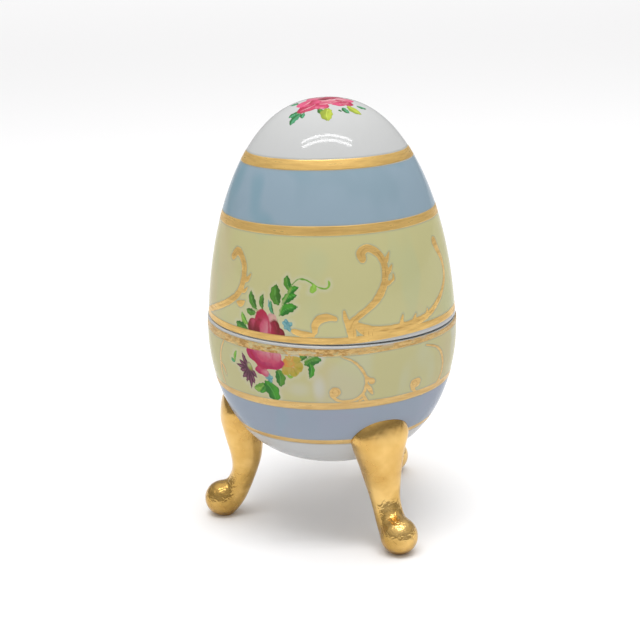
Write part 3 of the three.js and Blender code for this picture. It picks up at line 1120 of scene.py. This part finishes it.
def gilding_group():
    tree, given, result = new_group(
        "gilding",
        "ShaderNodeTree",
        {
            "Depth": -1.0, "Scoring": 1.0, "Wear": 0.0,
            "Gold": (0.6, 0.4, 0.15, 1), "Dark gold": (0.35, 0.2, 0.07, 1),
        },
        {"Mask": "Float", "Colour": "Color", "Roughness": "Float", "Height": "Float", "Shade": "Float"},
    )
    where = on_piece(tree)
    rubbed = where.squeezed(2.4)
    blotches = rubbed.noise(620.0, detail=4.0, roughness=0.7)
    worn = blotches.ramp(0.42, 0.56) * given["Wear"]
    bare = rubbed.noise(330.0, detail=3.0, roughness=0.7).ramp(0.5, 0.57) * given["Wear"]
    brushed = where.squeezed(9.0).noise(160.0, detail=3.0, roughness=0.6).ramp(0.3, 0.75)
    laid = given["Depth"].ramp(-0.05, 0.07)
    raised = given["Depth"].ramp(-0.05, 0.25) * GOLD_THICKNESS
    line = given["Scoring"].ramp(0.16, 0.02)
    gold = given["Gold"]
    for share in (brushed * 0.38, line * 0.33, worn * 0.7):
        gold = share.mix(gold, given["Dark gold"])
    fill(tree, result, {
        "Mask": laid * (1.0 - bare * 0.6),
        "Colour": gold,
        "Roughness": brushed * 0.16 + 0.27 + worn * 0.2,
        "Height": raised - line * SCORE_DEPTH + blotches * 0.012 * laid,
        # a grey edge just outside the raised gold: partly the gold's own outline, partly painted shadow
        "Shade": given["Depth"].ramp(-0.55, 0.0) * (1.0 - laid),
    })
    return tree


BAND = band_group()
LUSTRE = lustre_group()
SKIN = skin_group()
GILDING = gilding_group()
print("shader groups:", ", ".join(group.name for group in (BAND, LUSTRE, SKIN, GILDING)))

# %% [markdown]
# ## The painted porcelain
# White glaze lies under everything. Blue and cream lustre are laid between the gold lines, the enamels
# over those, and the gold last, as it is fired at the lowest heat. A finish could be made for each band,
# but then every edge would need a seam in the mesh, so one finish mixes them all by height and by painted
# distance, and one function builds it for both shells. The gold of the two rims runs a little higher on
# the right, where the lid stands off, and that of the base is worn by the lid. The gloss is a coat that
# fades where the surface turns away.

# %% Painted porcelain
WHITE = linear(188, 189, 189)
GOLD = linear(227, 189, 116)
PALE_GOLD = linear(212, 179, 120)
DARK_GOLD = linear(150, 108, 56)
# grey of the edge round the gold: partly its outline, partly painted shadow of the raised gold
GOLD_OUTLINE_AND_SHADOW_GREY = linear(140, 145, 135)
# white of the halo round the enamels, and of the painted reflections
HALO_AND_REFLECTION_WHITE = linear(192, 194, 190)
RIM_GAP_SIDE = 70
RIM_SHIFT = 1.05
SHIFT_FROM = 0.3
SHIFT_FULL = 0.92
GOLD_METAL = 0.5
ENAMEL_THICKNESS = 0.015
GLOSS = 0.24
LUSTRE_GLOSS = 0.06
EDGE_GLOSS = 0.16


def use(tree, group, inputs):
    """A group's node in another tree."""
    return place(tree, "ShaderNodeGroup", inputs, node_tree=group)


def painted(tree, name, kind="Fac"):
    """What was painted on the mesh under a name."""
    return place(tree, "ShaderNodeAttribute", attribute_name=name)[kind]


def bumped(height):
    """A height in millimetres as the way that the surface faces."""
    return place(height.tree, "ShaderNodeBump", {"Strength": 1.0, "Distance": MM, "Height": height})[0]


def new_finish(name):
    """A material with its tree and the inputs of its one shader."""
    material = bpy.data.materials.new(name)
    material.use_nodes = True
    return material, material.node_tree, material.node_tree.nodes["Principled BSDF"].inputs


def painted_porcelain(name, gold_tone, lustre_bands, gold_lines, rim_line, rim_top_share, rim_wear):
    """Bands are (low, high, colour, warm, cool, amount) and lines (low, high), in mm above the seam."""
    material, tree, surface = new_finish(name)
    where = on_piece(tree)
    height = painted(tree, "rise")
    waver = (where.noise(45.0) - 0.5) * 0.5
    side = math.radians(RIM_GAP_SIDE)
    facing = (where.axis(0) - AXIS_X * MM) * math.sin(side) - where.axis(1) * math.cos(side)
    standing_off = facing.ramp(SHIFT_FROM * EGG_RADIUS * MM, SHIFT_FULL * EGG_RADIUS * MM, 0.0, RIM_SHIFT)

    def band(low, high):
        return use(tree, BAND, {"Height": height, "Low": low, "High": high, "Waver": waver})

    colour = WHITE
    lustrous = 0.0
    for low, high, middle, warm, cool, amount in lustre_bands:
        mask = band(low, high)["Mask"]
        drifting = use(tree, LUSTRE, {"Colour": middle, "Warm": warm, "Cool": cool, "Amount": amount})
        colour = mask.mix(colour, drifting["Colour"])
        lustrous = mask.step("MAXIMUM", lustrous)

    rim = band(standing_off + rim_line[0], standing_off * rim_top_share + rim_line[1])
    depth = (painted(tree, "gilding") * -1.0).step("MAXIMUM", rim["Inside"])
    for low, high in gold_lines:
        depth = depth.step("MAXIMUM", band(low, high)["Inside"])
    patchy = where.noise(40.0, detail=1.0).ramp(0.35, 0.6, 0.4, 1.0)
    gilt = use(tree, GILDING, {
        "Depth": depth,
        "Scoring": painted(tree, "scoring"),
        "Wear": rim["Mask"] * patchy * (1.0 - standing_off * 0.5) * rim_wear,
        "Gold": gold_tone,
        "Dark gold": DARK_GOLD,
    })

    ink_edge = painted(tree, "ink_edge")
    inked = ink_edge.ramp(0.05, -0.07)
    brushwork = {3: where.noise(1300.0) * 0.28 + 0.86}
    enamel = painted(tree, "ink", "Color").through("ShaderNodeVectorMath", brushwork, operation="SCALE")
    for share, tone in (
        # the grey edge round the gold: partly outline, partly painted shadow
        (gilt["Shade"] * 0.5, GOLD_OUTLINE_AND_SHADOW_GREY),
        # painted reflection: the pale patches on the lustre
        (painted(tree, "pearl") * 0.6, HALO_AND_REFLECTION_WHITE),
        (ink_edge.ramp(1.2, 0.0, 0.0, 0.22) * lustrous, HALO_AND_REFLECTION_WHITE),
        (inked * 0.96, enamel),
        (gilt["Mask"], gilt["Colour"]),
    ):
        colour = share.mix(colour, tone)
    skin = use(tree, SKIN, {"Ripple": 0.008, "Least roughness": 0.035})
    turned_away = place(tree, "ShaderNodeLayerWeight", {"Blend": 0.5})["Facing"]
    bare = (1.0 - gilt["Mask"]) * turned_away.ramp(0.3, 0.85, 1.0, EDGE_GLOSS) * (1.0 - inked * 0.65)
    roughness = {2: skin["Roughness"], 3: gilt["Roughness"]}
    fill(tree, surface, {
        "Base Color": colour,
        "Metallic": gilt["Mask"] * GOLD_METAL,
        "Roughness": gilt["Mask"].through("ShaderNodeMix", roughness, data_type="FLOAT"),
        "Normal": bumped(gilt["Height"] + inked * ENAMEL_THICKNESS + skin["Height"]),
        "Coat Weight": bare * (lustrous * LUSTRE_GLOSS + GLOSS),
        "Coat Roughness": 0.07,
        "Coat IOR": 1.9,
        "Specular IOR Level": 0.03,
    })
    return material


BLUE = (linear(138, 158, 172), linear(126, 150, 162), linear(108, 146, 160))
CREAM = (linear(187, 183, 134), linear(190, 174, 142), linear(176, 182, 140))
PEARL = (linear(184, 179, 130), linear(190, 170, 142), linear(182, 188, 166))
LAVENDER = (linear(142, 153, 168), linear(150, 152, 170), linear(134, 156, 170))

lid_finish = painted_porcelain(
    "painted porcelain, lid",
    GOLD,
    lustre_bands=[(27.2, 39.6, *BLUE, 0.5), (1.5, 25.1, *CREAM, 0.45)],
    gold_lines=[(39.6, 41.95), (25.05, 27.2)],
    rim_line=(0.3, 1.95),
    rim_top_share=0.85,
    rim_wear=0.0,
)
base_finish = painted_porcelain(
    "painted porcelain, base",
    PALE_GOLD,
    lustre_bands=[(-15.6, -0.7, *PEARL, 0.32), (-27.0, -17.3, *LAVENDER, 0.5)],
    gold_lines=[(-17.4, -15.6), (-28.3, -26.95)],
    rim_line=(-2.75, -0.6),
    rim_top_share=0.5,
    rim_wear=1.0,
)
print("painted finishes:", lid_finish.name, "/", base_finish.name)

# %% [markdown]
# ## The plain glaze inside
# The lining and the lip are left white. Nobody rubs or paints them, so their glaze ripples more, drifts a
# little in tone and shows a few specks of iron from the clay.

# %% White glaze
COOL_WHITE = linear(200, 203, 200)
IRON_SPECK = linear(150, 140, 120)


def plain_glaze():
    material, tree, surface = new_finish("white glaze")
    where = on_piece(tree)
    skin = use(tree, SKIN, {"Ripple": 0.05, "Least roughness": 0.1})
    tint = where.noise(60.0).ramp(0.35, 0.7).mix(WHITE, COOL_WHITE)
    specks = where.through("ShaderNodeTexVoronoi", {"Scale": 260.0}).ramp(0.07, 0.03) * 0.35
    fill(tree, surface, {
        "Base Color": specks.mix(tint, IRON_SPECK),
        "Roughness": skin["Roughness"],
        "Normal": bumped(skin["Height"]),
    })
    return material


lining_finish = plain_glaze()
print("lining finish:", lining_finish.name)

# %% [markdown]
# ## Burnished gold
# The legs are gold all over, laid thickly with a brush and then rubbed with an agate. Plain metal would
# look new, so the same cloudy noise gives it shallow dents from the brush and crinkles on the toes. It
# has worn pinkish in places and is pitted there. Shade is painted into the gold too: it is darker in the
# joint under the bowl, and in patches on the lower leg and the toes.

# %% Leg finish
BRIGHT_LEG = linear(232, 194, 122)
DEEP_LEG = linear(212, 170, 96)
WORN_LEG = linear(190, 140, 110)
PIT = linear(92, 66, 24)
# painted shade: the gold in the joint under the bowl
JOINT_SHADE_GOLD = linear(160, 122, 60)
# painted shade: the gold on the lower leg and the toes
LOW_SHADE_GOLD = linear(156, 124, 58)


def burnished_gold():
    material, tree, surface = new_finish("burnished gold")
    where = on_piece(tree)
    up = where.axis(2)
    cloud = where.noise(90.0, detail=3.0, roughness=0.6)
    rub = where.noise(55.0, detail=5.0, roughness=0.75)
    worn = rub.ramp(0.61, 0.70)
    pits = where.through("ShaderNodeTexVoronoi", {"Scale": 420.0}).ramp(0.14, 0.04) * rub.ramp(0.52, 0.62)
    tone = BRIGHT_LEG
    for share, shade in (
        (cloud.ramp(0.35, 0.65), DEEP_LEG),
        (worn * 0.5, WORN_LEG),
        (pits * 0.6, PIT),
        # painted shade: darker at the top of the leg, in the joint under the bowl
        (up.ramp(27 * MM, 35 * MM, 0.0, 0.55), JOINT_SHADE_GOLD),
        # painted shade: darker in patches towards the bottom of the leg and on the toes
        (up.ramp(22 * MM, 6 * MM) * cloud.ramp(0.4, 0.62, 0.0, 0.36), LOW_SHADE_GOLD),
    ):
        tone = share.mix(tone, shade)
    dents = where.noise(170.0, distortion=0.6) * 0.22
    crinkles = where.noise(520.0, distortion=1.0) * up.ramp(20 * MM, 9 * MM, 0.05, 0.34)
    fill(tree, surface, {
        "Base Color": tone,
        "Metallic": 1.0,
        "Roughness": cloud * 0.12 + 0.2 + worn * 0.2,
        "Normal": bumped(dents + crinkles - pits * 0.05),
    })
    return material


leg_finish = burnished_gold()
print("leg finish:", leg_finish.name)

# %% [markdown]
# ## Turn and paint the shells
# Both shells now come off the wheel, and each gets its decoration twice, half a turn apart. Two touches
# of the real thing come with them. The lid's rim was ground by hand, so it stands a hair off the base,
# most on the right. The egg was cut apart a little askew, so after painting, the seam and all that lies
# near it are let down on that side.

# %% The lid and the bowl
LID_COLUMNS = 480
BASE_COLUMNS = 760
LID_GOLD_SPREAD = 1.4
BASE_GOLD_SPREAD = 0.95
LID_RIM_CLEAR = 1.1
BASE_RIM_CLEAR = 2.6
RIM_GAP = 0.3
GROUND_HEIGHT = 1.2
CUT_DROP = 1.9
CUT_REACH = 8.0


def grind_rim(mesh):
    points = places(mesh) - AXIS
    turn = np.arctan2(points[:, 0], -points[:, 1])
    gap = RIM_GAP * (0.25 + 0.75 * swell(np.cos(turn - math.radians(RIM_GAP_SIDE)), -0.2, 0.9))
    points[:, 2] += gap * (1 - swell(points[:, 2] - SEAM, 0.0, GROUND_HEIGHT))
    set_places(mesh, points + AXIS)


def lower_cut(mesh):
    points = places(mesh) - AXIS
    height = points[:, 2]
    rightward = np.clip(0.5 + points[:, 0] / (2 * EGG_RADIUS), 0, 1)
    drop = CUT_DROP * rightward * (1 - swell(np.abs(height - SEAM), 0, CUT_REACH))
    moved = is_outside(mesh) & (drop > 0)
    points[moved, :2] *= (egg_radius(height - drop)[moved] / egg_radius(height)[moved])[:, None]
    points[:, 2] = height - drop
    set_places(mesh, points + AXIS)


lid_shell = turned("egg_lid_shell", lid_outline(), LID_COLUMNS, lid_finish, lining_finish)
base_shell = turned("egg_bowl_shell", base_outline(), BASE_COLUMNS, base_finish, lining_finish)
grind_rim(lid_shell.data)
lid_canvas = Canvas(lid_shell, LID_INSET, LID_GOLD_SPREAD, LID_RIM_CLEAR)
base_canvas = Canvas(base_shell, 0.0, BASE_GOLD_SPREAD, BASE_RIM_CLEAR)
for start in (0, 180):
    lid_canvas.start = start
    base_canvas.start = start
    lid_scrolls(lid_canvas)
    lid_spray(lid_canvas)
    base_scrolls(base_canvas)
    base_spray(base_canvas)
crown_spray(lid_canvas)
for canvas in (lid_canvas, base_canvas):
    canvas.keep()
    lower_cut(canvas.mesh)
    print(canvas.mesh.name, "is painted with", canvas.strokes, "strokes")

# %% [markdown]
# ## The shape of a leg
# A cabriole leg swells into a broad shoulder where it is luted to the bowl, narrows to an ankle, and
# sweeps out to a ball toe. It could be sculpted freely, but a gauge keeps it true: it lists, at each
# height, how far the front and back stand from the egg's axis, and half the width. A Remesh modifier then
# draws one skin over the shaft and the ball, so the ankle flows into the toe.

# %% Leg shape
LEG_GAUGE = [
    (36.8, 27.6, 21.6, 2.6),
    (36.1, 28.6, 21.3, 4.2),
    (34.8, 29.5, 20.8, 5.9),
    (32.8, 30.1, 20.2, 7.3),
    (30.2, 30.5, 19.5, 8.0),
    (27.2, 30.5, 19.2, 6.9),
    (21.9, 29.4, 19.4, 5.5),
    (16.9, 28.3, 20.0, 4.6),
    (12.9, 28.2, 21.1, 4.0),
    (10.3, 29.4, 22.1, 3.8),
    (7.2, 31.0, 23.4, 3.8),
    (3.2, 31.6, 25.5, 3.4),
    (-0.6, 31.6, 28.8, 2.2),
]
SQUARENESS = 2.3
LEG_SIDES = 56
TOE_RADIUS = 4.98
TOE_REACH = 31.2
TOE_HEIGHT = 4.5
TOE_SIDES = 48
TOE_ROWS = 24
SKIN_GRID = 0.3


def squared(value):
    """A cosine or sine pushed out towards the corners of a squared oval."""
    return np.sign(value) * np.abs(value) ** (2 / SQUARENESS)


def ring_points(out, across, height):
    """Places by ring and by side. The leg points along +X from the egg's axis."""
    return np.stack(np.broadcast_arrays(out, across, height), axis=-1)


def leg_shaft():
    """The shaft as rings of points, from the top down."""
    angle = np.linspace(0, 2 * math.pi, LEG_SIDES, endpoint=False)
    height, front, back, half_width = flowing(LEG_GAUGE).T[:, :, None]
    out = (front + back) / 2 + (front - back) / 2 * squared(np.cos(angle))
    return ring_points(out, half_width * squared(np.sin(angle)), height)


def toe_ball():
    """The ball as rings of points, from the top down."""
    down = math.pi * np.arange(1, TOE_ROWS)[:, None] / TOE_ROWS
    angle = 2 * math.pi * np.arange(TOE_SIDES) / TOE_SIDES
    reach = TOE_RADIUS * np.sin(down)
    out = TOE_REACH + reach * np.cos(angle)
    return ring_points(out, reach * np.sin(angle), TOE_HEIGHT + TOE_RADIUS * np.cos(down))


def closed_rings(rings, first_point=0):
    """The faces between rings of points, with a flat one on each end."""
    corner = first_point + np.arange(rings.shape[0] * rings.shape[1]).reshape(rings.shape[:2])
    after = np.roll(corner, -1, axis=1)
    walls = np.stack([corner[:-1], corner[1:], after[1:], after[:-1]], axis=-1).reshape(-1, 4)
    return [*walls.tolist(), corner[0].tolist(), corner[-1, ::-1].tolist()]


def leg_skin():
    """Shaft and toe under one smooth skin."""
    shaft, toe = leg_shaft(), toe_ball()
    points = np.concatenate([shaft.reshape(-1, 3), toe.reshape(-1, 3)]) * MM
    faces = closed_rings(shaft) + closed_rings(toe, shaft.shape[0] * shaft.shape[1])
    rough = bpy.data.meshes.new("leg_rough")
    rough.from_pydata(points.tolist(), [], faces)
    worked = new_object("leg_rough", rough)
    skin = worked.modifiers.new("skin", "REMESH")
    skin.mode = "VOXEL"
    skin.voxel_size = SKIN_GRID * MM
    return plain_mesh(worked)


leg_mesh = leg_skin()
print("a leg's skin has", len(leg_mesh.vertices), "points")

# %% [markdown]
# ## Finishing one leg
# The skin is rubbed smooth like wet clay: a little all over, and much more below the ankle, where the toe
# grows out of the shaft. Then the leg is fitted to the bowl. What would stand in the cavity is drawn back
# into the wall, and the toe is ground flat where it stands.

# %% Smooth and fit the leg
RUBS = 70
RUBS_ALL_OVER = 12
ANKLE_HEIGHT = 17.0
ANKLE_BLEND = 5
HALVINGS = 26
FURTHEST_MOVE = 3.0


def soften(mesh):
    points = places(mesh)
    one, two = read(mesh.edges, "vertices", 2, np.int32).T
    neighbours = np.bincount(np.concatenate([one, two]), minlength=len(points))[:, None]
    for number in range(RUBS):
        total = np.stack([
            np.bincount(one, along[two], len(points)) + np.bincount(two, along[one], len(points))
            for along in points.T
        ], axis=1)
        share = 1.0 if number < RUBS_ALL_OVER else swell(ANKLE_HEIGHT - points[:, 2], 0, ANKLE_BLEND)[:, None]
        points += (total / neighbours - points) / 2 * share
    set_places(mesh, points)


def fit_leg(mesh):
    """Moves each point that is too far in straight out from the egg's middle, to halfway into the wall."""
    points = places(mesh)
    middle = np.array([0, 0, WIDEST])
    away = points - middle
    lowest = EGG_FOOT + WALL / 2

    def outside_by(scale):
        spots = middle + away * scale[:, None]
        return np.hypot(spots[:, 0], spots[:, 1]) - egg_radius(np.minimum(spots[:, 2], WIDEST), WALL / 2)

    low, high = np.ones(len(points)), np.full(len(points), FURTHEST_MOVE)
    hidden = (outside_by(low) < 0) & (points[:, 2] > lowest)
    for _ in range(HALVINGS):
        half = (low + high) / 2
        out = (outside_by(half) > 0) | (WIDEST + away[:, 2] * half < lowest)
        high = np.where(out, half, high)
        low = np.where(out, low, half)
    points[hidden] = (middle + away * high[:, None])[hidden]
    points[:, 2] = np.maximum(points[:, 2], 0)
    set_places(mesh, points)
    print(int(hidden.sum()), "points of the leg were drawn back into the wall")


soften(leg_mesh)
fit_leg(leg_mesh)

# %% [markdown]
# ## Setting the legs round the axis
# The three legs come from one mould, so a second tree of geometry nodes copies one leg round the egg's
# axis. They were luted on by eye: they stand 119 degrees apart, not quite a third of a turn, and one of
# them leans sideways at its shoulder.

# %% The ring of legs
LEG_COUNT = 3
FIRST_LEG = 180
LEGS_APART = 119
LEANING_LEG = 1
LEAN = -1.7
LEAN_FOOT = 13
LEAN_TOP = 30


def build_ring():
    tree, given, result = new_group(
        "set round the axis",
        "GeometryNodeTree",
        {
            "Leg": "Geometry", "Count": 3, "First direction": 0.0, "Apart": 2.0, "Axis": 0.0,
            "Leaning leg": 0, "Lean": 0.0, "Finish": "Material",
        },
        {"Legs": "Geometry"},
    )

    def direction(number):
        return number * given["Apart"] + given["First direction"]

    index = place(tree, "GeometryNodeInputIndex")[0]
    number = stored(tree, "leg_number", "INT")
    chosen = {2: number, 3: given["Leaning leg"]}
    leans = place(tree, "FunctionNodeCompare", chosen, data_type="INT", operation="EQUAL")[0]
    height = place(tree, "GeometryNodeInputPosition")[0].axis(2)
    shift = height.ramp(LEAN_FOOT * MM, LEAN_TOP * MM) * given["Lean"]
    faced = direction(number)
    aside = vector(tree, faced.step("SINE") * shift * -1.0, faced.step("COSINE") * shift, 0.0)
    copied = {"Instance": given["Leg"], "Rotation": vector(tree, 0.0, 0.0, direction(index))}
    mark = {"Name": "leg_number", "Value": index}
    legs = (
        place(tree, "GeometryNodePoints", {"Count": given["Count"]})[0]
        .through("GeometryNodeSetPosition", {"Position": vector(tree, given["Axis"], 0.0, 0.0)})
        .through("GeometryNodeInstanceOnPoints", copied)
        .through("GeometryNodeStoreNamedAttribute", mark, data_type="INT", domain="INSTANCE")
        .through("GeometryNodeRealizeInstances")
        .through("GeometryNodeSetPosition", {"Selection": leans, "Offset": aside})
        .through("GeometryNodeSetShadeSmooth")
        .through("GeometryNodeSetMaterial", {"Material": given["Finish"]})
    )
    fill(tree, result, {"Legs": legs})
    return tree


legs = settled("gilt_legs", new_object("one_leg", leg_mesh), build_ring(), {
    "Count": LEG_COUNT,
    "First direction": math.radians(FIRST_LEG),
    "Apart": math.radians(LEGS_APART),
    "Axis": AXIS_X * MM,
    "Leaning leg": LEANING_LEG,
    "Lean": LEAN * MM,
    "Finish": leg_finish,
})

# %% [markdown]
# ## The floor and the tent
# The box stands on a sheet of white paper in a white tent. The tent is the world: dim at the horizon and
# bright overhead, the same from every side, so the shadow is soft and the sides of the egg stay calm.

# %% Floor and tent
FLOOR_HALF = 6.0
HORIZON_LIGHT = 0.32
OVERHEAD_LIGHT = 1.26
PAPER_WHITE = (0.93, 0.93, 0.94, 1)
TENT_WHITE = (1.0, 0.995, 0.985, 1)

paper = bpy.data.meshes.new("paper")
corners = [(x * FLOOR_HALF, y * FLOOR_HALF, 0) for x, y in ((-1, -1), (1, -1), (1, 1), (-1, 1))]
paper.from_pydata(corners, [], [(0, 1, 2, 3)])
paper_finish, paper_tree, paper_surface = new_finish("white paper")
fill(paper_tree, paper_surface, {"Base Color": PAPER_WHITE, "Roughness": 0.9, "Specular IOR Level": 0.1})
paper.materials.append(paper_finish)
floor = new_object("floor", paper)

world = bpy.data.worlds.new("white tent")
bpy.context.scene.world = world
world.use_nodes = True
sky = world.node_tree
steep = place(sky, "ShaderNodeTexCoord")["Generated"].axis(2).step("MAXIMUM", 0.0).step("POWER", 2.0)
strength = steep.through("ShaderNodeMapRange", {1: 0.0, 2: 1.0, 3: HORIZON_LIGHT, 4: OVERHEAD_LIGHT})
fill(sky, sky.nodes["Background"].inputs, {"Color": TENT_WHITE, "Strength": strength})
print("paper", 2 * FLOOR_HALF, "m wide under a tent of strength", HORIZON_LIGHT, "to", OVERHEAD_LIGHT)

# %% [markdown]
# ## The lamps
# Four soft lamps hang in the tent and shine straight down. Two thin tubes over the front of the box leave
# a double arc on the dome. A softbox above lifts the shoulders and deepens the shadow, and a broad lamp
# behind brightens the paper. Those two light the box but don't show in its gloss.

# %% Lamps
TUBE_SIZE = (0.62, 0.03)
TUBE_HEIGHT = 0.70
TUBE_POWER = 0.78
TUBES_FORWARD = (0.138, 0.200)
SOFTBOX_SIZE = (0.9, 0.9)
SOFTBOX_PLACE = (AXIS_X * MM, -0.12, 1.2)
SOFTBOX_POWER = 4.6
BACKLIGHT_SIZE = (7.0, 5.0)
BACKLIGHT_PLACE = (0, 3.8, 2.6)
BACKLIGHT_POWER = 46


def hang_lamp(name, size, power, spot, in_gloss):
    """A soft rectangle of light at a place in metres. Its light is seen, and the lamp itself isn't."""
    light = bpy.data.lights.new(name, "AREA")
    light.shape = "RECTANGLE"
    light.size, light.size_y = size
    light.energy = power
    lamp = new_object(name, light)
    lamp.location = spot
    lamp.visible_camera = False
    lamp.visible_glossy = in_gloss
    print(name, "hangs", round(spot[2], 2), "m up")


for number, forward in enumerate(TUBES_FORWARD):
    hang_lamp(f"tube_{number}", TUBE_SIZE, TUBE_POWER, (AXIS_X * MM, -forward, TUBE_HEIGHT), True)
hang_lamp("softbox", SOFTBOX_SIZE, SOFTBOX_POWER, SOFTBOX_PLACE, False)
hang_lamp("backlight", BACKLIGHT_SIZE, BACKLIGHT_POWER, BACKLIGHT_PLACE, False)

# %% [markdown]
# ## Hand over
# Each piece rides on the body it belongs to and stands for the packed solid that it finishes.

# %% Pieces and bodies
for piece, node, slot in (
    (lid_shell, "lid", "lid_porcelain"),
    (base_shell, "base", "base_porcelain"),
    (legs, "base", "base_porcelain"),
):
    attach(piece, "root")
    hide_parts(node)
